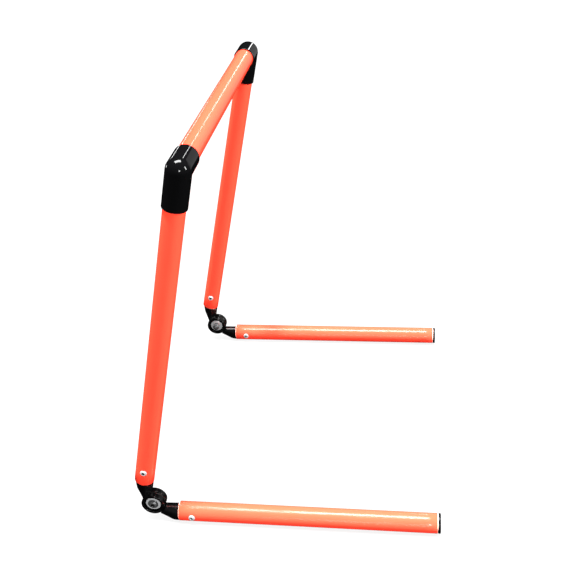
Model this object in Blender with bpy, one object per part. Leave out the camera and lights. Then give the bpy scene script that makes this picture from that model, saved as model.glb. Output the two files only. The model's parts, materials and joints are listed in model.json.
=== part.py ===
"""Folding training hurdle: a portal of plastic tube on two feet that fold up against it.

Frame: +X runs from the hinges along the feet, +Y along the crossbar to the left, +Z up.
The origin is the middle of the bottom of the bounding box. Lengths are metres.

Each hinge joins two tubes that pass its pivot at the same distance, so that the foot can lie
alongside the upright when it is folded. A tube, its half of the hinge and its rivets are drawn
in an arm frame: origin on the pivot, +X along the tube away from the pivot, +Z towards the
inside of the fold, and +Y towards the side that this half's disc lies on.
"""
import math

import bmesh
import bpy
from mathutils import Matrix, Vector

# Overall shape
TUBE_RADIUS = 0.0125
TUBE_BORE = 0.0105
LEAN = math.radians(13.63)       # of the uprights, over the feet
FRAME_WIDTH = 0.4126             # between the axes of the uprights
UPRIGHT_RISE = 0.4746            # pivot to crossbar axis, measured along an upright
FOOT_REACH = 0.3651              # pivot to the cut end of a foot tube
GAP = 0.0003                     # between pieces that touch

# Elbow
ELBOW_RADIUS = 0.0142
ELBOW_UPRIGHT_LEG = 0.043        # corner to the mouth of the socket on the upright
ELBOW_CROSSBAR_LEG = 0.034       # corner to the mouth of the socket on the crossbar
ELBOW_STOP = 0.0150              # corner to the shoulder that the tube's end meets
ELBOW_PASSAGE = 0.0100
ELBOW_CHAMFER = 0.0008

# Hinge
PIVOT_OFFSET = 0.0160            # pivot to the axis of either tube
DISC_RADIUS = 0.0153
STACK_HALF = 0.0086              # from the middle of the hinge to the outer face of a disc
FRICTION_DISC_THICKNESS = 0.0006
FRICTION_DISC_RADIUS = 0.0146
ARM_LENGTH = {"upright": 0.0352, "foot": 0.0323}      # pivot to the cut end of the tube
RIVET_DISTANCE = {"upright": 0.0572, "foot": 0.0508}  # pivot to the rivets, along the tube
ARM_RADIUS = 0.0121
ARM_BACK = 0.0097                # tube axis to the slanting back, at the tube's end
ARM_RIDGE = 0.0012               # off the middle, of the ridge where the arm's inner side is bevelled
BEVEL_NORMAL = (0.6, 0.8)        # of that bevel, in Y and Z
NOTCH_ANGLE = math.radians(-62)  # where the arm's slanting back meets the disc
CHEEK_START = 0.0150             # from here to the tube the arm widens beyond the disc's face
SWING_CLEARANCE = 0.0008         # between an arm and the other half's disc
RECESS_DEPTH = 0.0043            # of the round pocket that the washer lies in
RECESS_RADIUS = 0.0122
WASHER_THICKNESS = 0.0013
PLUG_LENGTH = 0.032
PLUG_WALL = 0.0024
PLUG_FLOOR = 0.004

# Fasteners
BOLT_RADIUS = 0.003
BOLT_FLANGE_RADIUS = 0.0068
BOLT_FLANGE_THICKNESS = 0.0010
BOLT_HEAD_RADIUS = 0.0053
BOLT_HEAD_HEIGHT = 0.0033
BOLT_CROWN_RADIUS = 0.0029       # of the flat on top of the domed head
DOME_ANGLES = (0, 30, 60, 90)    # degrees round the dome, from its brim
BOLT_END_CHAMFER = 0.0005
BOLT_PROTRUSION = 0.0009         # of the bolt's end beyond the nut
SOCKET_WIDTH = 0.004             # across the flats of the hexagon
SOCKET_DEPTH = 0.0021
WASHER_RADIUS = 0.0098
NUT_WIDTH = 0.010                # across flats
NUT_HEIGHT = 0.006
NUT_COLLAR_RADIUS = 0.0050
NUT_COLLAR_HEIGHT = 0.0016
LOCK_RING_THICKNESS = 0.0010
LOCK_RING_WIDTH = 0.0008
RIVET_RADIUS = 0.002
RIVET_HEAD_RADIUS = 0.0040
RIVET_HEAD_HEIGHT = 0.0013
RIVET_DOME_HEIGHT = 0.0012
RIVET_DOME_ANGLES = (30, 50, 75, 90)                  # degrees round the dome, from its top
RIVET_TAIL_RADIUS = 0.0028
RIVET_TAIL_LENGTH = 0.0022
RIVET_HOLE_RADIUS = 0.0012       # left in the head by the broken mandrel
RIVET_HOLE_DEPTH = 0.0025

# End cap
CAP_THICKNESS = 0.0028
CAP_CHAMFER = 0.0009
CAP_PLUG_LENGTH = 0.014
CAP_PLUG_WALL = 0.0022

# Fineness of the round shapes
TUBE_SEGMENTS = 32
DISC_SEGMENTS = 32
SMALL_SEGMENTS = 16
RIVET_SEGMENTS = 12
CORNER_STEPS = 6
SHARP_ANGLE = math.radians(32)
MERGE_DISTANCE = 1e-7

# Worked out from the above
PLUG_RADIUS = TUBE_BORE - GAP
HOLE_RADIUS = BOLT_RADIUS + GAP
RIVET_BORE = RIVET_RADIUS + GAP
DISC_INNER_FACE = FRICTION_DISC_THICKNESS / 2 + GAP
POCKET_FLOOR = STACK_HALF - RECESS_DEPTH
WASHER_FACE = POCKET_FLOOR + GAP + WASHER_THICKNESS
CAP_FACE = FOOT_REACH + GAP + CAP_THICKNESS
BACK_REACH = (PIVOT_OFFSET + TUBE_RADIUS) * math.cos(LEAN) - ARM_LENGTH["upright"] * math.sin(LEAN)
PIVOT_X = (BACK_REACH - CAP_FACE) / 2
PIVOT_Z = TUBE_RADIUS + PIVOT_OFFSET
RIVET_SPOT = {kind: Vector((along, 0, -PIVOT_OFFSET)) for kind, along in RIVET_DISTANCE.items()}

ALONG_X = Matrix.Rotation(math.pi / 2, 4, "Y")
ALONG_Y = Matrix.Rotation(-math.pi / 2, 4, "X")
ON_TUBE_AXIS = Matrix.Translation((0, 0, -PIVOT_OFFSET)) @ ALONG_X

SIDES = {"right": -1, "left": 1}


def lathe(profile, segments, place=Matrix.Identity(4), ring=False, flats_outside=False):
    """Turn (radius, height) points about Z. A ring's profile is a closed loop off the axis.

    With flats_outside the flats, not the corners, lie on the true radius and face +-X and +-Y.
    """
    bm = bmesh.new()
    half_step = math.pi / segments
    scale = 1 / math.cos(half_step) if flats_outside else 1
    start = half_step if flats_outside else 0
    direction = Vector((math.cos(start), math.sin(start), 0)) * scale
    points = [bm.verts.new(direction * radius + Vector((0, 0, height))) for radius, height in profile]
    pairs = list(zip(points, points[1:]))
    if ring:
        pairs.append((points[-1], points[0]))
    edges = [bm.edges.new(pair) for pair in pairs]
    bmesh.ops.spin(bm, geom=points + edges, cent=(0, 0, 0), axis=(0, 0, 1), angle=2 * math.pi,
                   steps=segments, use_merge=True)
    bmesh.ops.remove_doubles(bm, verts=bm.verts, dist=MERGE_DISTANCE)
    bmesh.ops.transform(bm, matrix=place, verts=bm.verts)
    bmesh.ops.recalc_face_normals(bm, faces=bm.faces)
    return bm


def rod(radius, low, high, segments, place=Matrix.Identity(4)):
    return lathe([(0, low), (radius, low), (radius, high), (0, high)], segments, place)


def prism(outline, direction):
    """Push a flat outline along a vector."""
    bm = bmesh.new()
    face = bm.faces.new([bm.verts.new(point) for point in outline])
    grown = bmesh.ops.extrude_face_region(bm, geom=[face])["geom"]
    moved = [item for item in grown if isinstance(item, bmesh.types.BMVert)]
    bmesh.ops.translate(bm, verts=moved, vec=direction)
    bmesh.ops.recalc_face_normals(bm, faces=bm.faces)
    return bm


def to_mesh(name, bm):
    mesh = bpy.data.meshes.new(name)
    bm.to_mesh(mesh)
    bm.free()
    return mesh


def carve(name, base, steps):
    """Apply (operation, tool) Boolean steps to a bmesh and return the finished mesh."""
    made = [bpy.data.objects.new(name, to_mesh(name, base))]
    for number, (operation, tool) in enumerate(steps):
        label = f"{name}_step_{number}"
        made.append(bpy.data.objects.new(label, to_mesh(label, tool)))
        modifier = made[0].modifiers.new(label, "BOOLEAN")
        modifier.solver = "EXACT"
        modifier.operation = operation
        modifier.object = made[-1]
    for obj in made:
        bpy.context.scene.collection.objects.link(obj)
    evaluated = made[0].evaluated_get(bpy.context.evaluated_depsgraph_get())
    mesh = bpy.data.meshes.new_from_object(evaluated)
    mesh.name = name
    for obj in made:
        spent = obj.data
        bpy.data.objects.remove(obj)
        bpy.data.meshes.remove(spent)
    return mesh


def make_material(name, colour, roughness, metallic=0.0):
    material = bpy.data.materials.new(name)
    material.use_nodes = True
    shader = material.node_tree.nodes["Principled BSDF"]
    shader.inputs["Base Color"].default_value = (*colour, 1)
    shader.inputs["Roughness"].default_value = roughness
    shader.inputs["Metallic"].default_value = metallic
    material.diffuse_color = (*colour, 1)
    return material


def orange_plastic(name):
    return make_material(name, (0.95, 0.13, 0.045), 0.22)


def black_plastic(name):
    return make_material(name, (0.012, 0.012, 0.013), 0.18)


def zinc_steel(name):
    return make_material(name, (0.58, 0.59, 0.60), 0.34, 1.0)


def aluminium(name):
    return make_material(name, (0.86, 0.86, 0.87), 0.26, 1.0)


def fibre(name):
    return make_material(name, (0.22, 0.15, 0.10), 0.8)


def black_nylon(name):
    return make_material(name, (0.02, 0.02, 0.022), 0.45)


def place_part(name, mesh, parent, look, location=(0, 0, 0), rotation=(0, 0, 0)):
    """Put a mesh in the scene as one named piece with a material of its own."""
    shape = mesh.copy()
    shape.name = name
    shape.materials.clear()
    shape.materials.append(look(name))
    shape.shade_smooth()
    shape.set_sharp_from_angle(angle=SHARP_ANGLE)
    obj = bpy.data.objects.new(name, shape)
    obj.parent = parent
    obj.location = location
    obj.rotation_euler = rotation
    bpy.context.scene.collection.objects.link(obj)
    return obj


def make_frame(name, location, rotation):
    empty = bpy.data.objects.new(name, None)
    empty.location = location
    empty.rotation_euler = rotation
    bpy.context.scene.collection.objects.link(empty)
    return empty


def tube_mesh(low, high):
    """A plain length of tube about Z."""
    profile = [(TUBE_BORE, low), (TUBE_RADIUS, low), (TUBE_RADIUS, high), (TUBE_BORE, high)]
    return lathe(profile, TUBE_SEGMENTS, ring=True, flats_outside=True)


def drilled_tube_mesh(kind, high):
    """A tube from the hinge's arm outwards, drilled across for the two rivets."""
    tube = tube_mesh(ARM_LENGTH[kind], high)
    bmesh.ops.transform(tube, matrix=ON_TUBE_AXIS, verts=tube.verts)
    place = Matrix.Translation(RIVET_SPOT[kind]) @ ALONG_Y
    drill = rod(RIVET_BORE, -2 * TUBE_RADIUS, 2 * TUBE_RADIUS, RIVET_SEGMENTS, place)
    return carve("drilled_tube", tube, [("DIFFERENCE", drill)])


def elbow_ring(bm, radius, leg, along):
    """One ring of the elbow's skin. Leg "a", on the upright, runs along +X and leg "b" along +Y.

    On leg "corner", along is the angle turned round the outside of the ball. The inner halves of
    these rings all lie on the mitre between the two legs.
    """
    ring = []
    for step in range(TUBE_SEGMENTS):
        angle = 2 * math.pi * (step + 0.5) / TUBE_SEGMENTS
        inward = radius * math.cos(angle)
        height = radius * math.sin(angle)
        if leg == "a":
            point = (along, inward, height)
        elif leg == "b":
            point = (inward, along, height)
        elif inward > 0:
            point = (inward, inward, height)
        else:
            point = (inward * math.sin(along), inward * math.cos(along), height)
        ring.append(bm.verts.new(point))
    return ring


def elbow_mesh():
    """A right-angled fitting: a ball corner, two sockets, and a narrower passage between them."""
    socket = TUBE_RADIUS + GAP
    low = ELBOW_UPRIGHT_LEG
    side = ELBOW_CROSSBAR_LEG
    brim = ELBOW_RADIUS - ELBOW_CHAMFER
    corner = [("corner", math.pi / 2 * step / CORNER_STEPS) for step in range(CORNER_STEPS + 1)]
    outside = [(ELBOW_RADIUS, *place) for place in corner]
    passage = [(ELBOW_PASSAGE, *place) for place in reversed(corner)]
    stations = [(brim, "a", low), (ELBOW_RADIUS, "a", low - ELBOW_CHAMFER)]
    stations += outside
    stations += [(ELBOW_RADIUS, "b", side - ELBOW_CHAMFER), (brim, "b", side)]
    stations += [(socket, "b", side), (socket, "b", ELBOW_STOP), (ELBOW_PASSAGE, "b", ELBOW_STOP)]
    stations += passage
    stations += [(ELBOW_PASSAGE, "a", ELBOW_STOP), (socket, "a", ELBOW_STOP), (socket, "a", low)]
    bm = bmesh.new()
    rings = [elbow_ring(bm, *station) for station in stations]
    for first, second in zip(rings, rings[1:] + rings[:1]):
        for step in range(TUBE_SEGMENTS):
            after = (step + 1) % TUBE_SEGMENTS
            bm.faces.new((first[step], first[after], second[after], second[step]))
    bmesh.ops.remove_doubles(bm, verts=bm.verts, dist=MERGE_DISTANCE)
    bmesh.ops.recalc_face_normals(bm, faces=bm.faces)
    return to_mesh("elbow", bm)


def bevel_tool(shoulder, far):
    """What is cut off along the arm's inner side, on the side of its own disc."""
    ridge = Vector((0, -ARM_RIDGE, ARM_RADIUS - PIVOT_OFFSET))
    normal = Vector((0, *BEVEL_NORMAL))
    slope = Vector((0, normal.z, -normal.y))
    outline = [ridge - far * slope, ridge + far * slope, ridge + far * (normal + slope),
               ridge + far * (normal - slope)]
    start = Vector((-far, 0, 0))
    return prism([point + start for point in outline], (shoulder - GAP + far, 0, 0))


def knuckle_mesh(kind):
    """Half a hinge: a disc on the pivot, a tapering arm, and a hollow plug for the tube."""
    plug_end = ARM_LENGTH[kind] + PLUG_LENGTH
    plug_floor = ARM_LENGTH[kind] + PLUG_FLOOR
    hollow = PLUG_RADIUS - PLUG_WALL
    shoulder = ARM_LENGTH[kind] - GAP
    stem = [(0, 0), (ARM_RADIUS, 0), (ARM_RADIUS, shoulder), (PLUG_RADIUS, shoulder),
            (PLUG_RADIUS, plug_end - GAP), (PLUG_RADIUS - GAP, plug_end), (hollow, plug_end),
            (hollow, plug_floor), (0, plug_floor)]
    body = lathe(stem, TUBE_SEGMENTS, ON_TUBE_AXIS, flats_outside=True)

    far = 3 * DISC_RADIUS
    notch = Vector((math.cos(NOTCH_ANGLE), 0, math.sin(NOTCH_ANGLE))) * (DISC_RADIUS - GAP)
    back_edge = Vector((shoulder, 0, -PIVOT_OFFSET - ARM_BACK))
    slope = back_edge - notch
    behind = notch - slope * (notch.x / slope.x + 1)
    back = [behind, back_edge, back_edge - Vector((0, 0, far)), behind - Vector((0, 0, far))]
    back_cut = prism([point - Vector((0, far, 0)) for point in back], (0, 2 * far, 0))

    cheek = [(-far, STACK_HALF), (CHEEK_START, STACK_HALF), (shoulder, ARM_RADIUS),
             (shoulder, far), (-far, far)]
    near_cheek = prism([(x, y, -far) for x, y in cheek], (0, 0, 2 * far))
    far_cheek = prism([(x, -y, -far) for x, y in cheek], (0, 0, 2 * far))

    thick = 2 * STACK_HALF      # more than the finished disc, which the later cuts bring to size
    disc = rod(DISC_RADIUS, -DISC_INNER_FACE, thick, DISC_SEGMENTS, ALONG_Y)
    swing = rod(DISC_RADIUS + SWING_CLEARANCE, -far, DISC_INNER_FACE, DISC_SEGMENTS, ALONG_Y)
    pocket = rod(RECESS_RADIUS, POCKET_FLOOR, far, DISC_SEGMENTS, ALONG_Y)
    bore = rod(HOLE_RADIUS, -far, far, SMALL_SEGMENTS, ALONG_Y)
    drill = rod(RIVET_BORE, -far, far, RIVET_SEGMENTS, Matrix.Translation(RIVET_SPOT[kind]) @ ALONG_Y)
    cuts = [near_cheek, far_cheek, swing, pocket, bore, drill]
    steps = [("DIFFERENCE", back_cut), ("DIFFERENCE", bevel_tool(shoulder, far)), ("UNION", disc)]
    steps += [("DIFFERENCE", cut) for cut in cuts]
    return carve("knuckle", body, steps)


def rivet_mesh():
    """A blind rivet along Z from the tube's axis, its head bedded on the tube along X."""
    bed = TUBE_RADIUS + GAP
    top = bed + RIVET_HEAD_HEIGHT
    inner_wall = PLUG_RADIUS - PLUG_WALL
    tail_top = math.sqrt(inner_wall ** 2 - RIVET_TAIL_RADIUS ** 2) - GAP
    tail_low = tail_top - RIVET_TAIL_LENGTH
    dome = [(RIVET_HEAD_RADIUS * math.sin(angle), top - RIVET_DOME_HEIGHT * (1 - math.cos(angle)))
            for angle in map(math.radians, RIVET_DOME_ANGLES)]
    profile = [(0, top - RIVET_HOLE_DEPTH), (RIVET_HOLE_RADIUS, top - RIVET_HOLE_DEPTH),
               (RIVET_HOLE_RADIUS, top)]
    profile += dome
    profile += [(RIVET_HEAD_RADIUS, bed), (RIVET_RADIUS, bed), (RIVET_RADIUS, tail_top),
                (RIVET_TAIL_RADIUS, tail_top), (RIVET_TAIL_RADIUS, tail_low), (0, tail_low)]
    bm = lathe(profile, RIVET_SEGMENTS)
    for vert in bm.verts:
        reach = Vector(vert.co.xy).length
        if abs(vert.co.z - bed) < MERGE_DISTANCE and reach > RIVET_RADIUS / 2:
            vert.co.z = math.sqrt(bed ** 2 - vert.co.y ** 2)
    return to_mesh("rivet", bm)


def bolt_mesh():
    """A flanged button-head bolt along Z, with a hexagon socket."""
    seat = WASHER_FACE + GAP
    top = seat + BOLT_HEAD_HEIGHT
    brim = seat + BOLT_FLANGE_THICKNESS
    end = -(seat + NUT_HEIGHT + BOLT_PROTRUSION)
    crown = top - brim
    slope = BOLT_HEAD_RADIUS - BOLT_CROWN_RADIUS
    dome = [(BOLT_CROWN_RADIUS + slope * math.cos(angle), brim + crown * math.sin(angle))
            for angle in map(math.radians, DOME_ANGLES)]
    profile = [(0, end), (BOLT_RADIUS - BOLT_END_CHAMFER, end), (BOLT_RADIUS, end + BOLT_END_CHAMFER),
               (BOLT_RADIUS, seat), (BOLT_FLANGE_RADIUS, seat), (BOLT_FLANGE_RADIUS, brim)]
    profile += dome
    profile += [(0, top)]
    body = lathe(profile, SMALL_SEGMENTS)
    socket = rod(SOCKET_WIDTH / math.sqrt(3), top - SOCKET_DEPTH, top + SOCKET_DEPTH, 6)
    return carve("bolt", body, [("DIFFERENCE", socket)])


def washer_mesh(low):
    profile = [(HOLE_RADIUS, low), (WASHER_RADIUS, low), (WASHER_RADIUS, low + WASHER_THICKNESS),
               (HOLE_RADIUS, low + WASHER_THICKNESS)]
    return to_mesh("washer", lathe(profile, DISC_SEGMENTS, ring=True))


def nut_mesh():
    """A hexagon nut with a round collar on its outer end, hollowed for the lock ring."""
    seat = -(WASHER_FACE + GAP)
    collar = seat - NUT_HEIGHT + NUT_COLLAR_HEIGHT
    end = seat - NUT_HEIGHT
    pocket = HOLE_RADIUS + LOCK_RING_WIDTH + GAP
    hexagon = rod(NUT_WIDTH / math.sqrt(3), collar, seat, 6)
    ring = rod(NUT_COLLAR_RADIUS, end, collar + NUT_COLLAR_HEIGHT / 2, SMALL_SEGMENTS)
    hole = rod(HOLE_RADIUS, 2 * end, -2 * end, SMALL_SEGMENTS)
    hollow = rod(pocket, 2 * end, end + LOCK_RING_THICKNESS + GAP, SMALL_SEGMENTS)
    return carve("nut", hexagon, [("UNION", ring), ("DIFFERENCE", hole), ("DIFFERENCE", hollow)])


def lock_ring_mesh():
    """The nylon ring that grips the bolt in the nut's collar."""
    low = -(WASHER_FACE + GAP + NUT_HEIGHT)
    high = low + LOCK_RING_THICKNESS
    inner = HOLE_RADIUS
    outer = HOLE_RADIUS + LOCK_RING_WIDTH
    profile = [(inner, low), (outer, low), (outer, high), (inner, high)]
    return to_mesh("lock_ring", lathe(profile, SMALL_SEGMENTS, ring=True))


def friction_disc_mesh():
    half = FRICTION_DISC_THICKNESS / 2
    profile = [(HOLE_RADIUS, -half), (FRICTION_DISC_RADIUS, -half), (FRICTION_DISC_RADIUS, half),
               (HOLE_RADIUS, half)]
    return to_mesh("friction_disc", lathe(profile, DISC_SEGMENTS, ring=True))


def end_cap_mesh():
    """A plug with a flange as wide as the tube, along the arm frame's X."""
    rim = FOOT_REACH + GAP
    plug_end = rim - CAP_PLUG_LENGTH
    hollow = PLUG_RADIUS - CAP_PLUG_WALL
    profile = [(0, CAP_FACE), (TUBE_RADIUS - CAP_CHAMFER, CAP_FACE), (TUBE_RADIUS, CAP_FACE - CAP_CHAMFER),
               (TUBE_RADIUS, rim), (PLUG_RADIUS, rim), (PLUG_RADIUS, plug_end), (hollow, plug_end),
               (hollow, rim), (0, rim)]
    return to_mesh("end_cap", lathe(profile, TUBE_SEGMENTS, ON_TUBE_AXIS, flats_outside=True))


def make_arm(kind, side, frame, tube, knuckle, rivet):
    """A tube, its half of the hinge and its two rivets, in an arm frame."""
    place_part(f"{kind}_tube_{side}", tube, frame, orange_plastic)
    place_part(f"{kind}_knuckle_{side}", knuckle, frame, black_plastic)
    for face, turn in (("inner", SIDES[side]), ("outer", -SIDES[side])):
        flip = turn if frame.rotation_euler.x == 0 else -turn
        tilt = (flip * math.pi / 2, 0, 0)
        place_part(f"{kind}_rivet_{face}_{side}", rivet, frame, aluminium, RIVET_SPOT[kind], tilt)


def make_bolt_group(side, frame, meshes):
    """The clamped stack on the pivot, along the bolt's axis with the head outwards."""
    place_part(f"hinge_bolt_{side}", meshes["bolt"], frame, zinc_steel)
    place_part(f"hinge_nut_{side}", meshes["nut"], frame, zinc_steel)
    place_part(f"nut_lock_ring_{side}", meshes["lock_ring"], frame, black_nylon)
    place_part(f"bolt_washer_{side}", meshes["outer_washer"], frame, zinc_steel)
    place_part(f"nut_washer_{side}", meshes["inner_washer"], frame, zinc_steel)
    place_part(f"friction_disc_{side}", meshes["friction_disc"], frame, fibre)


def build():
    for obj in list(bpy.data.objects):
        bpy.data.objects.remove(obj)

    tube_ends = {"upright": UPRIGHT_RISE - ELBOW_STOP - GAP, "foot": FOOT_REACH}
    tubes = {kind: drilled_tube_mesh(kind, end) for kind, end in tube_ends.items()}
    knuckles = {kind: knuckle_mesh(kind) for kind in tube_ends}
    rivet = rivet_mesh()
    elbow = elbow_mesh()
    end_cap = end_cap_mesh()
    bolt_group = {
        "bolt": bolt_mesh(),
        "nut": nut_mesh(),
        "lock_ring": lock_ring_mesh(),
        "outer_washer": washer_mesh(POCKET_FLOOR + GAP),
        "inner_washer": washer_mesh(-WASHER_FACE),
        "friction_disc": friction_disc_mesh(),
    }

    upright_direction = Vector((math.sin(LEAN), 0, math.cos(LEAN)))
    inward_normal = Vector((math.cos(LEAN), 0, -math.sin(LEAN)))
    for side, sign in SIDES.items():
        pivot = Vector((PIVOT_X, sign * FRAME_WIDTH / 2, PIVOT_Z))
        corner = pivot - PIVOT_OFFSET * inward_normal + UPRIGHT_RISE * upright_direction

        upright_turn = (math.pi, LEAN - math.pi / 2, 0)
        upright_frame = make_frame(f"upright_frame_{side}", pivot, upright_turn)
        make_arm("upright", side, upright_frame, tubes["upright"], knuckles["upright"], rivet)

        foot_frame = make_frame(f"foot_frame_{side}", pivot, (0, 0, 0))
        make_arm("foot", side, foot_frame, tubes["foot"], knuckles["foot"], rivet)
        place_part(f"foot_end_cap_{side}", end_cap, foot_frame, black_plastic)

        bolt_frame = make_frame(f"bolt_frame_{side}", pivot, (-sign * math.pi / 2, 0, 0))
        make_bolt_group(side, bolt_frame, bolt_group)

        flip = math.pi if sign > 0 else 0
        place_part(f"elbow_{side}", elbow, None, black_plastic, corner, (flip, math.pi / 2 + LEAN, 0))

    half_crossbar = FRAME_WIDTH / 2 - ELBOW_STOP - GAP
    crossbar = to_mesh("crossbar", tube_mesh(-half_crossbar, half_crossbar))
    place_part("crossbar_tube", crossbar, None, orange_plastic, (corner.x, 0, corner.z),
               (math.pi / 2, LEAN, 0))


build()
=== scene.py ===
"""Looks of the folding training hurdle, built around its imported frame. Lengths are metres.

A tube, its half of a hinge and its rivets are drawn in an arm frame: origin on the hinge's pivot,
+X along the tube away from it, +Z towards the inside of the fold, and +Y towards the side that
this half's disc lies on. Both tubes pass the pivot at the same distance.
"""

import json
import math

import bmesh
import bpy
import numpy as np
from mathutils import Matrix, Vector


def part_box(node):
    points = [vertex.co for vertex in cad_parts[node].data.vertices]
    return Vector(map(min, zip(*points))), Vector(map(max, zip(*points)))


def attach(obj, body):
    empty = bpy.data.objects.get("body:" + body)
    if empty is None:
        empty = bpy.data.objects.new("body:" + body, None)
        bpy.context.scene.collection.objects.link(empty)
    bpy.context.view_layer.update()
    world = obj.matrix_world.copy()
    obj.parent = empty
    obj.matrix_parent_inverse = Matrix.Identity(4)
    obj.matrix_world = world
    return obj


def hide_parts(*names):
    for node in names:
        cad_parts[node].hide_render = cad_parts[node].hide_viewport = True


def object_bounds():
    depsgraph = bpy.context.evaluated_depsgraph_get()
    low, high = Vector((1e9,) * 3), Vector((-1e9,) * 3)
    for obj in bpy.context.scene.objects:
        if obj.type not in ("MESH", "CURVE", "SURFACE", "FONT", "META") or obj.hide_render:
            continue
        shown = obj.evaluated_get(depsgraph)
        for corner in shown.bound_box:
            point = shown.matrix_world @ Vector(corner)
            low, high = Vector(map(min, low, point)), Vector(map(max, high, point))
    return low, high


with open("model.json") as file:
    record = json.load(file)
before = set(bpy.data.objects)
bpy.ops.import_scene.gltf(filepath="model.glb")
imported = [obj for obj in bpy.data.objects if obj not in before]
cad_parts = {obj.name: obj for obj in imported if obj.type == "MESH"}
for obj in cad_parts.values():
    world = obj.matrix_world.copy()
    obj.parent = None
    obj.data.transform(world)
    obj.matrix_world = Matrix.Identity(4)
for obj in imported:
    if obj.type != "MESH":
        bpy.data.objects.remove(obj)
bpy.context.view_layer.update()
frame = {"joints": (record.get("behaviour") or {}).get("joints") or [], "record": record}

# Tubes and elbows
TUBE_WALL = 0.002
TUBE_EDGE = 0.0009               # broken edge of a cut end
TUBE_STATIONS = 24               # along a tube
GAP = 0.0003
ELBOW_RADIUS = 0.0142
ELBOW_UPRIGHT_LEG = 0.043        # corner to the mouth of the socket on the upright
ELBOW_CROSSBAR_LEG = 0.034       # corner to the mouth of the socket on the crossbar
ELBOW_STOP = 0.0150              # corner to the shoulder that the tube's end meets
ELBOW_PASSAGE = 0.0100           # radius of the way through, between the sockets
ELBOW_FILLET = 0.0035            # on the inside of the corner
ELBOW_MOUTH_EDGE = 0.0009        # rounding of the outside of a socket's mouth
ELBOW_SOCKET_EDGE = 0.0004       # and of its inside

# Hinge
DISC_RADIUS = 0.0153
STACK_HALF = 0.0086              # middle of the hinge to a disc's outer face
DISC_INNER_FACE = 0.0006
FRICTION_DISC_RADIUS = 0.0146
FRICTION_DISC_HALF = 0.0003
ARM_LENGTH = {"upright": 0.0352, "foot": 0.0323}      # pivot to the cut end of the tube
RIVET_DISTANCE = {"upright": 0.0572, "foot": 0.0508}  # pivot to the rivets, along the tube
ARM_RADIUS = 0.0121
ARM_BACK = 0.0099
ARM_RIDGE = 0.0012               # of the arm's inner side, towards the other half of the hinge
ARM_SINK = 0.002                 # of the arm past its shoulder, overlapping the tube's wall unseen
BEVEL_NORMAL = (0.6, 0.8)        # of the arm's inner side, across the arm
NOTCH_ANGLE = math.radians(-62)  # where the arm's back meets the disc
CHEEK_START = 0.0150
SWING_RADIUS = 0.0161            # kept clear for the other half's disc
POCKET_RADIUS = 0.0122
POCKET_FLOOR = 0.0043
PLUG_RADIUS = 0.0102
PLUG_LENGTH = 0.032
PLUG_WALL = 0.0024
PLUG_FLOOR = 0.004
PLUG_CHAMFER = 0.0004
HOLE_RADIUS = 0.0033

# Fasteners
WASHER_RADIUS = 0.0098
WASHER_LOW = 0.0046
WASHER_HIGH = 0.0059
WASHER_ROUND = 0.00035           # stamped edge on the outer face
WASHER_CHAMFER = 0.0002
SEAT = 0.0062                    # middle of the hinge to the bolt's and the nut's seat
BOLT_RADIUS = 0.003
BOLT_FLANGE_RADIUS = 0.0068
BOLT_FLANGE_THICKNESS = 0.0010
BOLT_HEAD_RADIUS = 0.0053
BOLT_HEAD_HEIGHT = 0.0033
BOLT_DOME_RATIO = 1.25           # the full dome's height to the crown's, which is cut flat
BOLT_PROTRUSION = 0.0009
BOLT_TIP_LENGTH = 0.0006
BOLT_TIP_TAPER = 0.0005
THREAD_PITCH = 0.001
THREAD_DEPTH = 0.0004
THREAD_RUNOUT = 0.001
SOCKET_WIDTH = 0.0048
SOCKET_DEPTH = 0.0021
NUT_WIDTH = 0.010
NUT_REACH = 0.0059               # past the nut's corners
NUT_HEIGHT = 0.006
NUT_CHAMFER = 0.0004
NUT_COLLAR_RADIUS = 0.0050
NUT_COLLAR_HEIGHT = 0.0016
LOCK_RING_THICKNESS = 0.0010
LOCK_RING_WIDTH = 0.0008
RIVET_RADIUS = 0.002
RIVET_TAIL = 0.004
RIVET_HEAD_RADIUS = 0.0042
RIVET_HEAD_HEIGHT = 0.0013
RIVET_HOLE_RADIUS = 0.0019
RIVET_HOLE_DEPTH = 0.0012
RIVET_HOLE_EDGE = 0.0002
RIVET_CROWN_DROP = 0.85          # of the head's height, lost between its top and its rim
RIVET_CROWN_STEPS = 12
CAP_THICKNESS = 0.0028
CAP_ROUND = 0.0010
CAP_DISH = 0.0006                # of the middle of the face, below its rim
CAP_DISH_EDGE = 0.0003
CAP_RIM_WIDTH = 0.0042
CAP_CHAMFER = 0.0002
CAP_PLUG_LENGTH = 0.014
CAP_PLUG_WALL = 0.0022

# Fineness of the meshes
ROUND_SEGMENTS = 96
SMALL_SEGMENTS = 48
ELBOW_STEP = 0.0006
KNUCKLE_STEP = 0.0004
FASTENER_STEP = 0.0002
SETTLE_ROUNDS = 4

# Colours
ORANGE = (0.93, 0.050, 0.0255)
SCUFF = (1.0, 0.16, 0.09)
# Paler sawn end, partly the cut's own colour and partly a painted highlight on the rim
CUT_END_PALE_AND_HIGHLIGHT = (1.0, 0.60, 0.50)
BLACK = (0.0014, 0.0014, 0.0015)
NYLON_BLACK = (0.006, 0.006, 0.007)
# Painted shade: near-black for the insides of the bolt's socket and the rivets' holes
PAINTED_SHADE_BLACK = (0.006, 0.006, 0.006)
FIBRE_BROWN = (0.014, 0.012, 0.011)
WASHER_GREY = (0.66, 0.67, 0.68)
BOLT_GREY = (0.24, 0.245, 0.25)
RIVET_GREY = (0.60, 0.60, 0.61)
TEXTURE_SHIFT = 3                # times a piece's place, so that repeated pieces differ

# Stage
FLOOR_HALF_SIDE = 8
FLOOR_ALBEDO = 0.03
FLOOR_GLOW = 0.88
WORLD_STRENGTH = 0.30

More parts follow.
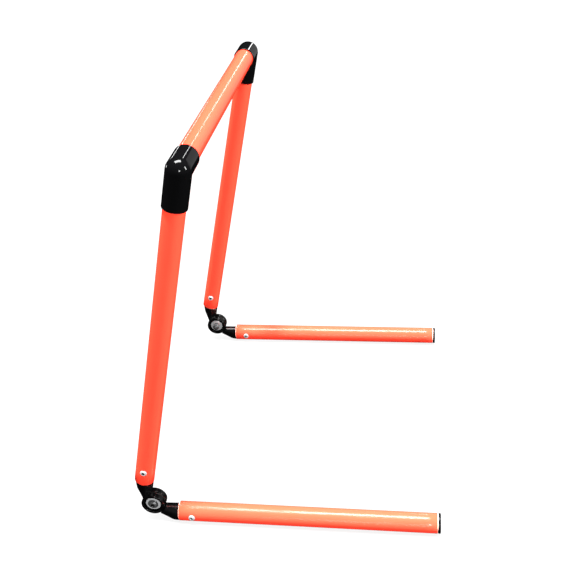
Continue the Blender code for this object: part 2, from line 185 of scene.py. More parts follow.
# Lights: name, direction towards the light, and the rest as each kind needs it
LIGHT_DISTANCE = 2.8
LIGHT_AIM = (0, 0, 0.25)
FILL_SIDE = 1.2
SUNS = (                         # strength, angle across in degrees
    ("ceiling", (-0.17, 0.10, 0.98), 9.8, 45),
    ("key", (0, -0.06, 1), 15, 5),
)
SHEENS = (                       # width and height, radiance
    ("overhead", (-0.03, 0.06, 1.0), (1.9, 0.95), 20),
    ("side_right", (0.90, -0.22, 0.38), (0.32, 1.15), 25),
    ("front", (0.30, -0.88, 0.30), (0.5, 0.34), 25),
    ("back_strip", (0.107, 0.889, 0.445), (0.07, 0.95), 13),
    ("left_strip", (-0.488, 0.856, 0.170), (0.45, 0.09), 8),
    ("left_spot", (-0.93, 0.356, 0.16), (0.35, 0.4), 10),
    ("back_card", (0.52, 0.84, 0.13), (2.8, 1.9), 0.3),
)
FILLS = (                        # level
    ("fill_right", (0.877, -0.072, 0.4735), 3.8),
    ("fill_left", (-0.75, 0.45, 0.50), 2.1),
    ("fill_front", (0.05, -0.97, 0.15), 1.2),
)

# Camera, fitted to the tubes' edges in the photo; angles are degrees
CAMERA_SENSOR = 36               # millimetres
CAMERA_LENS = 52.78
CAMERA_AZIMUTH = -9.696
CAMERA_ELEVATION = -31.264
CAMERA_ROLL = -4.433
CAMERA_FROM_PIVOT = (0.32795, -0.76095, 0.79628)      # from the right hinge's pivot

# Read from the frame
SIDES = {"right": -1, "left": 1}
ALONG_X = Matrix.Rotation(math.pi / 2, 4, "Y")
SLOTS = {item["node"]: item["material_slot"] for item in frame["record"]["subparts"]}
BODY_OF = {node: body for body, nodes in frame["record"]["behaviour"]["bodies"].items() for node in nodes}
PIVOTS = {joint["child"].split("_")[-1]: Vector(joint["pos_m"]) for joint in frame["joints"]}
foot_low, foot_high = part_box("foot_tube_right")
bar_low, bar_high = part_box("crossbar_tube")
bar_middle = (bar_low + bar_high) / 2
TUBE_RADIUS = (foot_high.z - foot_low.z) / 2
PIVOT_OFFSET = PIVOTS["right"].z - TUBE_RADIUS
FOOT_END = foot_high.x - PIVOTS["right"].x
pivot_to_bar = Vector((bar_middle.x - PIVOTS["right"].x, bar_middle.z - PIVOTS["right"].z))
UPRIGHT_RISE = math.sqrt(pivot_to_bar.length ** 2 - PIVOT_OFFSET ** 2)
LEAN = math.atan2(pivot_to_bar.x, pivot_to_bar.y) + math.atan2(PIVOT_OFFSET, UPRIGHT_RISE)
ON_AXIS = Matrix.Translation((0, 0, -PIVOT_OFFSET))


# ---------------------------------------------------------------- meshes

def finish_mesh(name, bm, sharp):
    mesh = bpy.data.meshes.new(name)
    bm.to_mesh(mesh)
    bm.free()
    mesh.shade_smooth()
    mesh.set_sharp_from_angle(angle=math.radians(sharp))
    return mesh


def lathe(name, profile, segments=ROUND_SEGMENTS, place=Matrix.Identity(4), ring=False, sharp=30):
    """Turn (radius, height) points about Z. A ring's profile is a closed loop off the axis."""
    bm = bmesh.new()
    points = [bm.verts.new((radius, 0, height)) for radius, height in profile]
    pairs = list(zip(points, points[1:]))
    if ring:
        pairs.append((points[-1], points[0]))
    edges = [bm.edges.new(pair) for pair in pairs]
    bmesh.ops.spin(bm, geom=points + edges, cent=(0, 0, 0), axis=(0, 0, 1), angle=2 * math.pi,
                   steps=segments, use_merge=True)
    bmesh.ops.remove_doubles(bm, verts=bm.verts, dist=1e-7)
    bmesh.ops.transform(bm, matrix=place, verts=bm.verts)
    bmesh.ops.recalc_face_normals(bm, faces=bm.faces)
    return finish_mesh(name, bm, sharp)


def corner(centre, radius, first, last, steps=6):
    """Points of a rounded corner in a profile, from one angle in degrees to another."""
    points = []
    for step in range(steps + 1):
        angle = math.radians(first + (last - first) * step / steps)
        points.append((centre[0] + radius * math.cos(angle), centre[1] + radius * math.sin(angle)))
    return points


def crossed_edges(value, axis):
    """Grid edges along one axis that cross the surface: their cells, crossings and senses."""
    before = [slice(None)] * 3
    after = [slice(None)] * 3
    before[axis] = slice(None, -1)
    after[axis] = slice(1, None)
    start = value[tuple(before)]
    end = value[tuple(after)]
    crossed = np.argwhere((start < 0) != (end < 0))
    a = start[tuple(crossed.T)]
    b = end[tuple(crossed.T)]
    unit = np.eye(3, dtype=int)
    point = crossed + (a / (a - b))[:, None] * unit[axis]
    u = unit[(axis + 1) % 3]
    v = unit[(axis + 2) % 3]
    cells = [crossed, crossed - u, crossed - u - v, crossed - v]
    return cells, point, a < 0


def settled(points, field, step):
    """Points moved onto the surface along the field's slope."""
    reach = 0.05 * step
    for _ in range(SETTLE_ROUNDS):
        here = field(*points.T)
        slope = np.zeros_like(points)
        for axis in range(3):
            shift = np.zeros(3)
            shift[axis] = reach
            slope[:, axis] = (field(*(points + shift).T) - field(*(points - shift).T)) / (2 * reach)
        size = np.maximum((slope ** 2).sum(1), 0.25)
        move = slope * (here / size)[:, None]
        points = points - np.clip(move, -0.5 * step, 0.5 * step)
    return points


def sculpt(name, field, low, high, step):
    """The surface where a distance field is zero, as an even net of quads."""
    axes = [np.arange(a - 1.5 * step, b + 2.5 * step, step) for a, b in zip(low, high)]
    value = field(*np.meshgrid(*axes, indexing="ij"))
    origin = np.array([axis[0] for axis in axes])
    total = np.zeros((*value.shape, 3))
    hits = np.zeros(value.shape)
    quads = []
    for axis in range(3):
        cells, point, outward = crossed_edges(value, axis)
        for cell in cells:
            np.add.at(total, tuple(cell.T), point)
            np.add.at(hits, tuple(cell.T), 1)
        flat = np.stack([np.ravel_multi_index(tuple(cell.T), value.shape) for cell in cells], 1)
        flat[~outward] = flat[~outward][:, ::-1]
        quads.append(flat)
    used = np.flatnonzero(hits.ravel())
    number = np.zeros(hits.size, dtype=int)
    number[used] = np.arange(used.size)
    points = total.reshape(-1, 3)[used] / hits.ravel()[used][:, None] * step + origin
    points = settled(points, field, step)
    mesh = bpy.data.meshes.new(name)
    mesh.from_pydata(points.tolist(), [], number[np.concatenate(quads)].tolist())
    mesh.validate()
    mesh.shade_smooth()
    return mesh


def joined(name, meshes):
    """Several meshes as one."""
    bm = bmesh.new()
    for mesh in meshes:
        bm.from_mesh(mesh)
        bpy.data.meshes.remove(mesh)
    mesh = bpy.data.meshes.new(name)
    bm.to_mesh(mesh)
    bm.free()
    return mesh


# Distance fields: negative inside. Where two meet, the edge is rounded over the length k.

def both(a, b, k=0.0):
    """Where a and b overlap."""
    if k == 0:
        return np.maximum(a, b)
    h = np.clip(0.5 + 0.5 * (a - b) / k, 0, 1)
    return b + (a - b) * h + k * h * (1 - h)


def either(a, b, k=0.0):
    return -both(-a, -b, k)


def cut(a, b, k=0.0):
    return both(a, -b, k)


def band(value, low, high):
    """A slab between two values of a coordinate."""
    return np.maximum(low - value, value - high)


def hexagon(x, y, width):
    x, y = np.abs(x), np.abs(y)
    return np.maximum(y, 0.5 * y + math.sqrt(0.75) * x) - width / 2


# ---------------------------------------------------------------- shapes of the pieces

def tube_mesh(name, low, high):
    """A cut length of tube along X, from low to high, with its end faces as a second material, paler
    partly as a painted highlight.
    """
    bore = TUBE_RADIUS - TUBE_WALL
    first = low + TUBE_EDGE
    last = high - TUBE_EDGE
    profile = [(bore, first), (bore + TUBE_EDGE, low), (TUBE_RADIUS - TUBE_EDGE, low)]
    for step in range(TUBE_STATIONS + 1):
        profile.append((TUBE_RADIUS, first + (last - first) * step / TUBE_STATIONS))
    profile += [(TUBE_RADIUS - TUBE_EDGE, high), (bore + TUBE_EDGE, high), (bore, last)]
    mesh = lathe(name, profile, place=ALONG_X, ring=True, sharp=50)
    for face in mesh.polygons:
        # End faces and rims take the paler second material, partly a painted highlight
        face.material_index = int(abs(face.normal.x) > 0.3)
    return mesh


def elbow_field(x, y, z):
    """A right-angled fitting with its legs along +X and +Y."""
    across_x = np.sqrt(y ** 2 + z ** 2)
    across_y = np.sqrt(x ** 2 + z ** 2)
    ball = np.sqrt(x ** 2 + y ** 2 + z ** 2) - ELBOW_RADIUS
    leg_x = both(across_x - ELBOW_RADIUS, band(x, 0, ELBOW_UPRIGHT_LEG), ELBOW_MOUTH_EDGE)
    leg_y = both(across_y - ELBOW_RADIUS, band(y, 0, ELBOW_CROSSBAR_LEG), ELBOW_MOUTH_EDGE)
    half = np.sqrt(np.maximum(ELBOW_RADIUS ** 2 - z ** 2, 0))
    round_off = ELBOW_FILLET * half / ELBOW_RADIUS
    beyond_x = np.maximum(round_off - x + half, 0)
    beyond_y = np.maximum(round_off - y + half, 0)
    fillet = round_off - np.hypot(beyond_x, beyond_y)
    fillet = np.maximum(fillet, np.maximum(-x, -y))
    fillet = np.maximum(fillet, np.maximum(x, y) - half - round_off)
    fillet = np.maximum(fillet, np.abs(z) - ELBOW_RADIUS)
    body = either(either(leg_x, leg_y), either(ball, fillet))
    for across, along in ((across_x, x), (across_y, y)):
        socket = both(across - TUBE_RADIUS - GAP, ELBOW_STOP - along)
        passage = both(across - ELBOW_PASSAGE, -along)
        body = cut(body, socket, ELBOW_SOCKET_EDGE)
        body = cut(body, passage)
    return body


def arm_field(x, y, z, shoulder):
    """The arm of half a hinge: round at the tube, flattened to the disc, sloped at its back."""
    around = np.sqrt(y ** 2 + (z + PIVOT_OFFSET) ** 2)
    arm = both(around - ARM_RADIUS, band(x, 0, shoulder + ARM_SINK), 0.0004)
    notch = np.array([math.cos(NOTCH_ANGLE), math.sin(NOTCH_ANGLE)]) * DISC_RADIUS
    edge = np.array([shoulder, -PIVOT_OFFSET - ARM_BACK])
    along = (edge - notch) / np.linalg.norm(edge - notch)
    behind = (x - notch[0]) * along[1] - (z - notch[1]) * along[0]
    arm = both(arm, behind, 0.0010)
    bevel = BEVEL_NORMAL[0] * (y + ARM_RIDGE) + BEVEL_NORMAL[1] * (z + PIVOT_OFFSET - ARM_RADIUS)
    arm = both(arm, bevel, 0.0020)
    rise = ARM_RADIUS - STACK_HALF
    run = shoulder - CHEEK_START
    tilt = math.hypot(rise, run)
    for side in (1, -1):
        slope = ((side * y - STACK_HALF) * run - (x - CHEEK_START) * rise) / tilt
        cheek = either(side * y - STACK_HALF, slope, 0.002)
        arm = both(arm, cheek, 0.0012)
    return arm


def knuckle_field(x, y, z, shoulder):
    """Half a hinge, without its plug, in an arm frame."""
    across = np.sqrt(x ** 2 + z ** 2)
    disc = both(across - DISC_RADIUS, band(y, DISC_INNER_FACE, STACK_HALF), 0.0012)
    swing = both(across - SWING_RADIUS, y - DISC_INNER_FACE)
    body = either(cut(arm_field(x, y, z, shoulder), swing, 0.0008), disc, 0.0005)
    pocket = both(across - POCKET_RADIUS, POCKET_FLOOR - y, 0.0004)
    body = cut(body, pocket, 0.0006)
    return cut(body, across - HOLE_RADIUS, 0.0003)


def knuckle_mesh(arm_length):
    """Half a hinge with its hollow plug, in an arm frame."""
    shoulder = arm_length - GAP
    low = (-DISC_RADIUS, -ARM_RADIUS, -PIVOT_OFFSET - ARM_RADIUS)
    high = (shoulder + ARM_SINK, ARM_RADIUS, DISC_RADIUS)
    arm = sculpt("arm", lambda x, y, z: knuckle_field(x, y, z, shoulder), low, high, KNUCKLE_STEP)
    end = arm_length + PLUG_LENGTH
    floor = arm_length + PLUG_FLOOR
    hollow = PLUG_RADIUS - PLUG_WALL
    profile = [(0, shoulder), (PLUG_RADIUS, shoulder), (PLUG_RADIUS, end - PLUG_CHAMFER),
               (PLUG_RADIUS - PLUG_CHAMFER, end), (hollow, end), (hollow, floor), (0, floor)]
    plug = lathe("plug", profile, place=ON_AXIS @ ALONG_X)
    return joined("knuckle", [arm, plug])


def bolt_field(x, y, z):
    """A flanged button-head bolt along Z, with a hexagon socket and a thread."""
    around = np.sqrt(x ** 2 + y ** 2)
    top = SEAT + BOLT_HEAD_HEIGHT
    brim = SEAT + BOLT_FLANGE_THICKNESS
    crown = top - brim
    flange = both(around - BOLT_FLANGE_RADIUS, band(z, SEAT, brim), 0.0005)
    height = np.maximum(z - brim, 0) / (crown * BOLT_DOME_RATIO)
    dome = np.hypot(around / BOLT_HEAD_RADIUS, height) - 1
    head = both(dome * crown, band(z, SEAT, top), 0.0004)
    body = either(flange, head, 0.0006)
    turn = np.mod(z / THREAD_PITCH - np.arctan2(y, x) / (2 * math.pi), 1)
    depth = THREAD_DEPTH * np.clip((-z - SEAT) / THREAD_RUNOUT, 0, 1)
    groove = depth * (1 - np.abs(2 * turn - 1))
    end = -(SEAT + NUT_HEIGHT + BOLT_PROTRUSION)
    taper = np.clip((end + BOLT_TIP_LENGTH - z) / BOLT_TIP_LENGTH, 0, 1) * BOLT_TIP_TAPER
    shank = both(around - BOLT_RADIUS + groove + taper, band(z, end, brim), 0.0001)
    body = either(body, shank)
    socket = both(hexagon(x, y, SOCKET_WIDTH), top - SOCKET_DEPTH - z)
    return cut(body, socket, 0.0003)


def bolt_mesh():
    """The bolt, with the faces in its socket as a second material, a near-black painted shade."""
    end = -(SEAT + NUT_HEIGHT + BOLT_PROTRUSION)
    top = SEAT + BOLT_HEAD_HEIGHT
    mesh = sculpt("bolt", bolt_field, (-BOLT_FLANGE_RADIUS, -BOLT_FLANGE_RADIUS, end - 0.0001),
                  (BOLT_FLANGE_RADIUS, BOLT_FLANGE_RADIUS, top), FASTENER_STEP)
    for face in mesh.polygons:
        x, y, z = face.center
        within = hexagon(x, y, SOCKET_WIDTH) < 0.0001
        # Painted shade: the socket's faces take the near-black second material
        face.material_index = int(within and top - SOCKET_DEPTH - 0.0002 < z < top - 0.0003)
    return mesh


def nut_field(x, y, z):
    """A hexagon nut with a round collar on its outer end."""
    around = np.sqrt(x ** 2 + y ** 2)
    end = -(SEAT + NUT_HEIGHT)
    collar_top = end + NUT_COLLAR_HEIGHT
    body = both(hexagon(x, y, NUT_WIDTH), band(z, collar_top, -SEAT), 0.0003)
    past_corner = around - NUT_WIDTH / 2 - NUT_CHAMFER
    for face in (collar_top - z, z + SEAT):
        body = both(body, (past_corner + face) * 0.7, 0.0002)
    collar = both(around - NUT_COLLAR_RADIUS, band(z, end, collar_top + 0.001), 0.0005)
    body = either(body, collar, 0.0003)
    body = cut(body, around - HOLE_RADIUS)
    lip = both(around - HOLE_RADIUS - LOCK_RING_WIDTH, z - end - LOCK_RING_THICKNESS - GAP)
    return cut(body, lip, 0.0002)


def nut_mesh():
    return sculpt("nut", nut_field, (-NUT_REACH, -NUT_REACH, -SEAT - NUT_HEIGHT),
                  (NUT_REACH, NUT_REACH, -SEAT), FASTENER_STEP)


def washer_mesh(low, high):
    profile = [(HOLE_RADIUS, low), (WASHER_RADIUS - WASHER_CHAMFER, low),
               (WASHER_RADIUS, low + WASHER_CHAMFER)]
    profile += corner((WASHER_RADIUS - WASHER_ROUND, high - WASHER_ROUND), WASHER_ROUND, 0, 90)
    profile += corner((HOLE_RADIUS + WASHER_ROUND, high - WASHER_ROUND), WASHER_ROUND, 90, 180)
    return lathe("washer", profile, ring=True, sharp=50)


def flat_ring_mesh(name, outer, low, high, segments):
    """A plain flat ring round the bolt."""
    profile = [(HOLE_RADIUS, low), (outer, low), (outer, high), (HOLE_RADIUS, high)]
    return lathe(name, profile, segments, ring=True)


def rivet_mesh():
    """A blind rivet along Z from the tube's axis, its head bedded on the tube along X.

    The faces in its hole are a second material, a near-black painted shade.
    """
    bed = TUBE_RADIUS
    top = bed + RIVET_HEAD_HEIGHT
    hole_floor = top - RIVET_HOLE_DEPTH
    rim = (RIVET_HOLE_RADIUS + RIVET_HOLE_EDGE, top - RIVET_HOLE_EDGE)
    profile = [(0, hole_floor), (RIVET_HOLE_RADIUS, hole_floor)]
    profile += corner(rim, RIVET_HOLE_EDGE, 180, 90, 4)
    for step in range(1, RIVET_CROWN_STEPS + 1):
        angle = math.radians(30 + 60 * step / RIVET_CROWN_STEPS)
        drop = RIVET_CROWN_DROP * RIVET_HEAD_HEIGHT * (1 - math.cos(angle))
        profile.append((RIVET_HEAD_RADIUS * math.sin(angle), top - drop))
    profile += [(RIVET_HEAD_RADIUS, bed), (RIVET_RADIUS, bed), (RIVET_RADIUS, bed - RIVET_TAIL),
                (0, bed - RIVET_TAIL)]
    mesh = lathe("rivet", profile, SMALL_SEGMENTS, sharp=40)
    for face in mesh.polygons:
        above_tail = face.center.z > bed - RIVET_TAIL / 2
        # Painted shade: the hole's faces take the near-black second material
        face.material_index = int(above_tail and Vector(face.center.xy).length < RIVET_HOLE_RADIUS)
    for vert in mesh.vertices:
        if abs(vert.co.z - bed) < 1e-6 and Vector(vert.co.xy).length > RIVET_RADIUS / 2:
            vert.co.z = math.sqrt(bed ** 2 - vert.co.y ** 2)
    return mesh


def cap_mesh():
    """A plug with a rounded flange as wide as the tube, along the arm frame's X."""
    rim = FOOT_END + GAP
    face = rim + CAP_THICKNESS
    end = rim - CAP_PLUG_LENGTH
    hollow = PLUG_RADIUS - CAP_PLUG_WALL
    dish = face - CAP_DISH
    dish_radius = TUBE_RADIUS - CAP_RIM_WIDTH
    profile = [(0, dish), (0.0012, dish), (dish_radius, dish)]
    profile += corner((dish_radius, dish + CAP_DISH_EDGE), CAP_DISH_EDGE, 270, 300, 3)
    profile += [(dish_radius + CAP_DISH, face - 0.0001)]
    profile += corner((TUBE_RADIUS - CAP_ROUND, face - CAP_ROUND), CAP_ROUND, 90, 0, 8)
    profile += [(TUBE_RADIUS, rim + CAP_CHAMFER), (TUBE_RADIUS - CAP_CHAMFER, rim),
                (PLUG_RADIUS, rim), (PLUG_RADIUS, end), (hollow, end), (hollow, rim), (0, rim)]
    return lathe("end_cap", profile, place=ON_AXIS @ ALONG_X)


def make_shapes():
    """Every distinct piece, once, in its own drawing frame."""
    nut_end = -(SEAT + NUT_HEIGHT)
    upright_end = UPRIGHT_RISE - ELBOW_STOP - GAP
    elbow_low = (-ELBOW_RADIUS, -ELBOW_RADIUS, -ELBOW_RADIUS)
    elbow_high = (ELBOW_UPRIGHT_LEG, ELBOW_CROSSBAR_LEG, ELBOW_RADIUS)
    return {
        "upright_tube": tube_mesh("upright_tube", ARM_LENGTH["upright"], upright_end),
        "foot_tube": tube_mesh("foot_tube", ARM_LENGTH["foot"], FOOT_END),
        "crossbar": tube_mesh("crossbar", bar_low.y, bar_high.y),
        "elbow": sculpt("elbow", elbow_field, elbow_low, elbow_high, ELBOW_STEP),
        "upright_knuckle": knuckle_mesh(ARM_LENGTH["upright"]),
        "foot_knuckle": knuckle_mesh(ARM_LENGTH["foot"]),
        "rivet": rivet_mesh(),
        "cap": cap_mesh(),
        "bolt": bolt_mesh(),
        "nut": nut_mesh(),
        "bolt_washer": washer_mesh(WASHER_LOW, WASHER_HIGH),
        "nut_washer": washer_mesh(-WASHER_HIGH, -WASHER_LOW),
        "lock_ring": flat_ring_mesh("lock_ring", HOLE_RADIUS + LOCK_RING_WIDTH, nut_end,
                                    nut_end + LOCK_RING_THICKNESS, SMALL_SEGMENTS),
        "friction": flat_ring_mesh("friction", FRICTION_DISC_RADIUS, -FRICTION_DISC_HALF,
                                   FRICTION_DISC_HALF, ROUND_SEGMENTS),
    }


# ---------------------------------------------------------------- materials

def new_material(name, colour, roughness, metallic=0.0):
    material = bpy.data.materials.new(name)
    material.use_nodes = True
    shader = material.node_tree.nodes["Principled BSDF"]
    shader.inputs["Base Color"].default_value = (*colour, 1)
    shader.inputs["Roughness"].default_value = roughness
    shader.inputs["Metallic"].default_value = metallic
    return material, material.node_tree, shader


def add(tree, kind, **values):
    """A node, with its inputs and properties set by name."""
    node = tree.nodes.new(kind)
    for key, value in values.items():
        socket = node.inputs.get(key.replace("_", " "))
        if socket is None:
            setattr(node, key, value)
        else:
            socket.default_value = value
    return node


def noise(tree, stretch, detail):
    """Noise on the piece's own coordinates, with about this many waves to a metre along each axis."""
    place = add(tree, "ShaderNodeAttribute", attribute_name="drawn_at")
    mapping = add(tree, "ShaderNodeMapping", Scale=stretch)
    cloud = add(tree, "ShaderNodeTexNoise", Scale=1.0, Detail=detail)
    tree.links.new(place.outputs["Vector"], mapping.inputs["Vector"])
    tree.links.new(mapping.outputs["Vector"], cloud.inputs["Vector"])
    return cloud.outputs["Fac"]


def span(tree, value, low, high, to_low, to_high):
    """Map a value's range onto another, clamped."""
    node = add(tree, "ShaderNodeMapRange", From_Min=low, From_Max=high, To_Min=to_low, To_Max=to_high)
    tree.links.new(value, node.inputs["Value"])
    return node.outputs["Result"]


def mixed(tree, factor, first, second):
    """Blend two colours, each a colour or a socket."""
    node = add(tree, "ShaderNodeMix", data_type="RGBA")
    tree.links.new(factor, node.inputs["Factor"])
    for socket, value in ((node.inputs[6], first), (node.inputs[7], second)):
        if isinstance(value, tuple):
            socket.default_value = (*value, 1)
        else:
            tree.links.new(value, socket)
    return node.outputs[2]


def times(colour, factor):
    return tuple(factor * channel for channel in colour)


def bumped(tree, shader, height, distance, strength):
    """Add a bump on top of those that the shader already has."""
    node = add(tree, "ShaderNodeBump", Strength=strength, Distance=distance)
    tree.links.new(height, node.inputs["Height"])
    previous = shader.inputs["Normal"].links
    if previous:
        tree.links.new(previous[0].from_socket, node.inputs["Normal"])
    tree.links.new(node.outputs["Normal"], shader.inputs["Normal"])


def tube_material():
    """Extruded PVC: faint die lines along it, a few fine scuffs, slightly uneven colour."""
    material, tree, shader = new_material("orange_pvc", ORANGE, 0.24)
    shader.inputs["Specular IOR Level"].default_value = 0.5
    tint = span(tree, noise(tree, (6, 30, 30), 3.0), 0.3, 0.7, 0, 1)
    body = mixed(tree, tint, times(ORANGE, 0.93), ORANGE)
    scuffs = span(tree, noise(tree, (60, 700, 700), 6.0), 0.70, 0.80, 0, 0.25)
    tree.links.new(mixed(tree, scuffs, body, SCUFF), shader.inputs["Base Color"])
    rough = span(tree, noise(tree, (8, 120, 120), 2.0), 0.3, 0.75, 0.12, 0.18)
    tree.links.new(rough, shader.inputs["Roughness"])
    bumped(tree, shader, noise(tree, (3, 900, 900), 1.0), 0.0000006, 0.5)
    bumped(tree, shader, noise(tree, (12, 40, 40), 1.0), 0.00006, 0.3)
    return material


def cut_material():
    """The sawn end of a tube: paler, partly the cut's own colour and partly a painted highlight on the
    rim, with fine saw marks.
    """
    material, tree, shader = new_material("orange_pvc_cut", CUT_END_PALE_AND_HIGHLIGHT, 0.55)
    marks = noise(tree, (40, 2500, 90), 2.0)
    colour = mixed(tree, marks, times(CUT_END_PALE_AND_HIGHLIGHT, 0.8), CUT_END_PALE_AND_HIGHLIGHT)
    tree.links.new(colour, shader.inputs["Base Color"])
    bumped(tree, shader, marks, 0.00008, 0.6)
    return material


def black_material(name, colour, low_rough, high_rough, grain, bump):
    """Moulded black plastic, a little paler along its edges and unevenly dull."""
    material, tree, shader = new_material(name, colour, low_rough)
    edges = add(tree, "ShaderNodeNewGeometry").outputs["Pointiness"]
    wear = span(tree, edges, 0.53, 0.60, 0, 1)
    patches = span(tree, noise(tree, (90, 90, 90), 4.0), 0.45, 0.7, 0, 0.5)
    worn = add(tree, "ShaderNodeMath", operation="MULTIPLY")
    tree.links.new(wear, worn.inputs[0])
    tree.links.new(patches, worn.inputs[1])
    shade = mixed(tree, worn.outputs[0], colour, times(colour, 4))
    tree.links.new(shade, shader.inputs["Base Color"])
    rough = span(tree, noise(tree, (140, 140, 140), 5.0), 0.3, 0.75, low_rough, high_rough)
    tree.links.new(rough, shader.inputs["Roughness"])
    bumped(tree, shader, noise(tree, (grain, grain, grain), 2.0), bump, 0.6)
    return material


def cloudy_material(name, colour, low_rough, high_rough, dull, metallic):
    """A cloudy finish with fine marks: metal, or where metallic is 0, pressed fibre or a near-black
    painted shade for holes.
    """
    material, tree, shader = new_material(name, colour, low_rough, metallic)
    clouds = span(tree, noise(tree, (350, 350, 350), 4.0), 0.3, 0.7, 0, 1)
    shade = mixed(tree, clouds, times(colour, dull), colour)
    tree.links.new(shade, shader.inputs["Base Color"])
    rough = span(tree, noise(tree, (900, 900, 900), 4.0), 0.3, 0.7, low_rough, high_rough)
    tree.links.new(rough, shader.inputs["Roughness"])
    bumped(tree, shader, noise(tree, (1500, 1500, 1500), 3.0), 0.00002, 0.5)
    return material


def make_looks():
    """The materials of each slot, in the order of the faces' material numbers."""
    # Painted shade: a near-black second material inside the bolt's socket and the rivets' holes
    painted_recess_shade = cloudy_material("painted_recess_shade", PAINTED_SHADE_BLACK, 0.5, 0.7, 0.6, 0.0)
    return {
        "orange_pvc": [tube_material(), cut_material()],
        "black_elbow": [black_material("black_elbow", BLACK, 0.03, 0.07, 1400, 0.000006)],
        "black_hinge": [black_material("black_hinge", BLACK, 0.12, 0.22, 2200, 0.000007)],
        "black_cap": [black_material("black_cap", BLACK, 0.25, 0.42, 2200, 0.00003)],
        "zinc_washer": [cloudy_material("zinc_washer", WASHER_GREY, 0.34, 0.50, 0.85, 0.55)],
        "zinc_fastener": [cloudy_material("zinc_fastener", BOLT_GREY, 0.24, 0.36, 0.8, 0.85), painted_recess_shade],
        "rivet_aluminium": [cloudy_material("rivet_aluminium", RIVET_GREY, 0.26, 0.38, 0.9, 0.6),
                            painted_recess_shade],
        "nylon": [black_material("nylon", NYLON_BLACK, 0.4, 0.6, 2500, 0.00003)],
        "friction_fibre": [cloudy_material("friction_fibre", FIBRE_BROWN, 0.7, 0.9, 0.6, 0.0)],
    }


# ---------------------------------------------------------------- putting the pieces in place

def put(name, mesh, place):
    """A finished piece that stands for the CAD node of the same name."""
    slot = SLOTS[name]
    mesh = mesh.copy()
    drawn_at = np.array([vert.co for vert in mesh.vertices])
    drawn_at += np.array(place.translation) * TEXTURE_SHIFT
    mesh.attributes.new("drawn_at", "FLOAT_VECTOR", "POINT").data.foreach_set("vector", drawn_at.ravel())
    mesh.transform(place)
    for material in looks[slot]:
        mesh.materials.append(material)
    obj = bpy.data.objects.new(f"fine_{name}", mesh)
    bpy.context.scene.collection.objects.link(obj)
    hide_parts(name)
    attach(obj, BODY_OF[name])


def axes_matrix(x_axis, y_axis, z_axis):
    """The turn that takes X, Y and Z to the given axes."""
    return Matrix((x_axis, y_axis, z_axis)).transposed().to_4x4()


def put_arm(kind, side, arm):
    """A tube with its half of the hinge and its two rivets, in their arm frame."""
    put(f"{kind}_tube_{side}", shapes[f"{kind}_tube"], arm @ ON_AXIS)
    put(f"{kind}_knuckle_{side}", shapes[f"{kind}_knuckle"], arm)
    # The upright's arm frame has its +Y the other way round
    way = SIDES[side] if kind == "foot" else -SIDES[side]
    for face, turn in (("outer", way), ("inner", -way)):
        across = Matrix.Translation((RIVET_DISTANCE[kind], 0, -PIVOT_OFFSET))
        across = across @ Matrix.Rotation(-turn * math.pi / 2, 4, "X")
        put(f"{kind}_rivet_{face}_{side}", shapes["rivet"], arm @ across)


def put_stack(side):
    """A hinge's bolt with its head outwards, and its nut, washers and friction disc."""
    place = Matrix.Translation(PIVOTS[side]) @ Matrix.Rotation(-SIDES[side] * math.pi / 2, 4, "X")
    put(f"hinge_bolt_{side}", shapes["bolt"], place)
    put(f"hinge_nut_{side}", shapes["nut"], place)
    put(f"nut_lock_ring_{side}", shapes["lock_ring"], place)
    put(f"bolt_washer_{side}", shapes["bolt_washer"], place)
    put(f"nut_washer_{side}", shapes["nut_washer"], place)
    put(f"friction_disc_{side}", shapes["friction"], place)


def put_side(side):
    """An upright and a foot with all that joins them, and the elbow on the upright."""
    pivot = PIVOTS[side]
    up = Vector((math.sin(LEAN), 0, math.cos(LEAN)))
    inward = Vector((math.cos(LEAN), 0, -math.sin(LEAN)))
    put_arm("upright", side, Matrix.Translation(pivot) @ axes_matrix(up, (0, -1, 0), inward))
    put_arm("foot", side, Matrix.Translation(pivot))
    put(f"foot_end_cap_{side}", shapes["cap"], Matrix.Translation(pivot))
    put_stack(side)
    top = pivot + up * UPRIGHT_RISE - inward * PIVOT_OFFSET
    to_middle = Vector((0, -SIDES[side], 0))
    turn = axes_matrix(-up, to_middle, (-up).cross(to_middle))
    put(f"elbow_{side}", shapes["elbow"], Matrix.Translation(top) @ turn)


# ---------------------------------------------------------------- stage, light and camera

def make_floor():
    """A pale floor that glows evenly and shows the hurdle's faint contact shadows."""
    half = FLOOR_HALF_SIDE
    mesh = bpy.data.meshes.new("floor")
    mesh.from_pydata([(-half, -half, 0), (half, -half, 0), (half, half, 0), (-half, half, 0)], [],
                     [(0, 1, 2, 3)])
    material, _, shader = new_material("pale_floor", (FLOOR_ALBEDO,) * 3, 0.9)
    shader.inputs["Emission Color"].default_value = (1, 1, 1, 1)
    shader.inputs["Emission Strength"].default_value = FLOOR_GLOW
    mesh.materials.append(material)
    floor = bpy.data.objects.new("floor", mesh)
    floor.location.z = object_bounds()[0][2]
    floor.visible_glossy = False
    floor.visible_diffuse = False
    bpy.context.scene.collection.objects.link(floor)


def make_world():
    world = bpy.data.worlds.new("studio")
    world.use_nodes = True
    background = world.node_tree.nodes["Background"]
    background.inputs["Color"].default_value = (1, 1, 1, 1)
    background.inputs["Strength"].default_value = WORLD_STRENGTH
    world.cycles_visibility.glossy = False
    bpy.context.scene.world = world


def sun(name, toward, strength, angle):
    """A sun that brightens matt colour and shows no highlight."""
    data = bpy.data.lights.new(name, "SUN")
    data.energy = strength
    data.angle = math.radians(angle)
    obj = bpy.data.objects.new(name, data)
    obj.rotation_euler = (-Vector(toward)).to_track_quat("-Z", "Y").to_euler()
    obj.visible_glossy = False
    bpy.context.scene.collection.objects.link(obj)


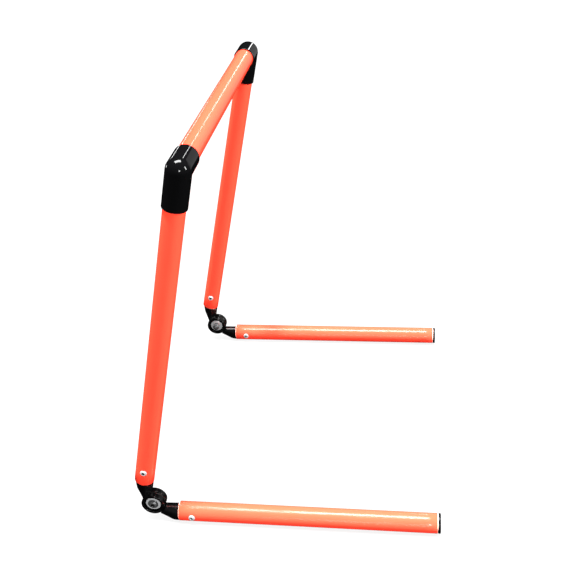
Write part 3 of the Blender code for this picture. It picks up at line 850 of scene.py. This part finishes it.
def area_light(name, toward, size, radiance):
    """A rectangular soft light that shines at the hurdle's middle from the given direction."""
    data = bpy.data.lights.new(name, "AREA")
    data.shape = "RECTANGLE"
    data.size, data.size_y = size
    data.energy = radiance * math.pi * size[0] * size[1]
    obj = bpy.data.objects.new(name, data)
    direction = Vector(toward).normalized()
    obj.location = Vector(LIGHT_AIM) + direction * LIGHT_DISTANCE
    obj.rotation_euler = (-direction).to_track_quat("-Z", "Y").to_euler()
    obj.visible_camera = False
    bpy.context.scene.collection.objects.link(obj)
    return obj


def sheen(name, toward, size, radiance):
    """A light that only shows as a highlight."""
    area_light(name, toward, size, radiance).visible_diffuse = False


def fill(name, toward, level):
    """A light that only brightens matt colour, by this much of a white surface facing it."""
    radiance = level * math.pi * (LIGHT_DISTANCE / FILL_SIDE) ** 2
    area_light(name, toward, (FILL_SIDE, FILL_SIDE), radiance).visible_glossy = False


def make_camera():
    data = bpy.data.cameras.new("camera")
    data.sensor_width = CAMERA_SENSOR
    data.lens = CAMERA_LENS
    camera = bpy.data.objects.new("camera", data)
    azimuth = math.radians(CAMERA_AZIMUTH)
    elevation = math.radians(CAMERA_ELEVATION)
    roll = math.radians(CAMERA_ROLL)
    forward = Vector((math.sin(azimuth) * math.cos(elevation), math.cos(azimuth) * math.cos(elevation),
                      math.sin(elevation)))
    level = forward.cross(Vector((0, 0, 1))).normalized()
    above = level.cross(forward)
    right = math.cos(roll) * level + math.sin(roll) * above
    up = -math.sin(roll) * level + math.cos(roll) * above
    place = PIVOTS["right"] + Vector(CAMERA_FROM_PIVOT)
    camera.matrix_world = Matrix.Translation(place) @ axes_matrix(right, up, -forward)
    bpy.context.scene.collection.objects.link(camera)
    bpy.context.scene.camera = camera


bpy.context.scene.view_settings.view_transform = "Standard"
looks = make_looks()
shapes = make_shapes()
for side in SIDES:
    put_side(side)
bar_place = Matrix.Translation((bar_middle.x, 0, bar_middle.z)) @ Matrix.Rotation(math.pi / 2, 4, "Z")
put("crossbar_tube", shapes["crossbar"], bar_place)

make_floor()
make_world()
for light in SUNS:
    sun(*light)
for light in SHEENS:
    sheen(*light)
for light in FILLS:
    fill(*light)
make_camera()
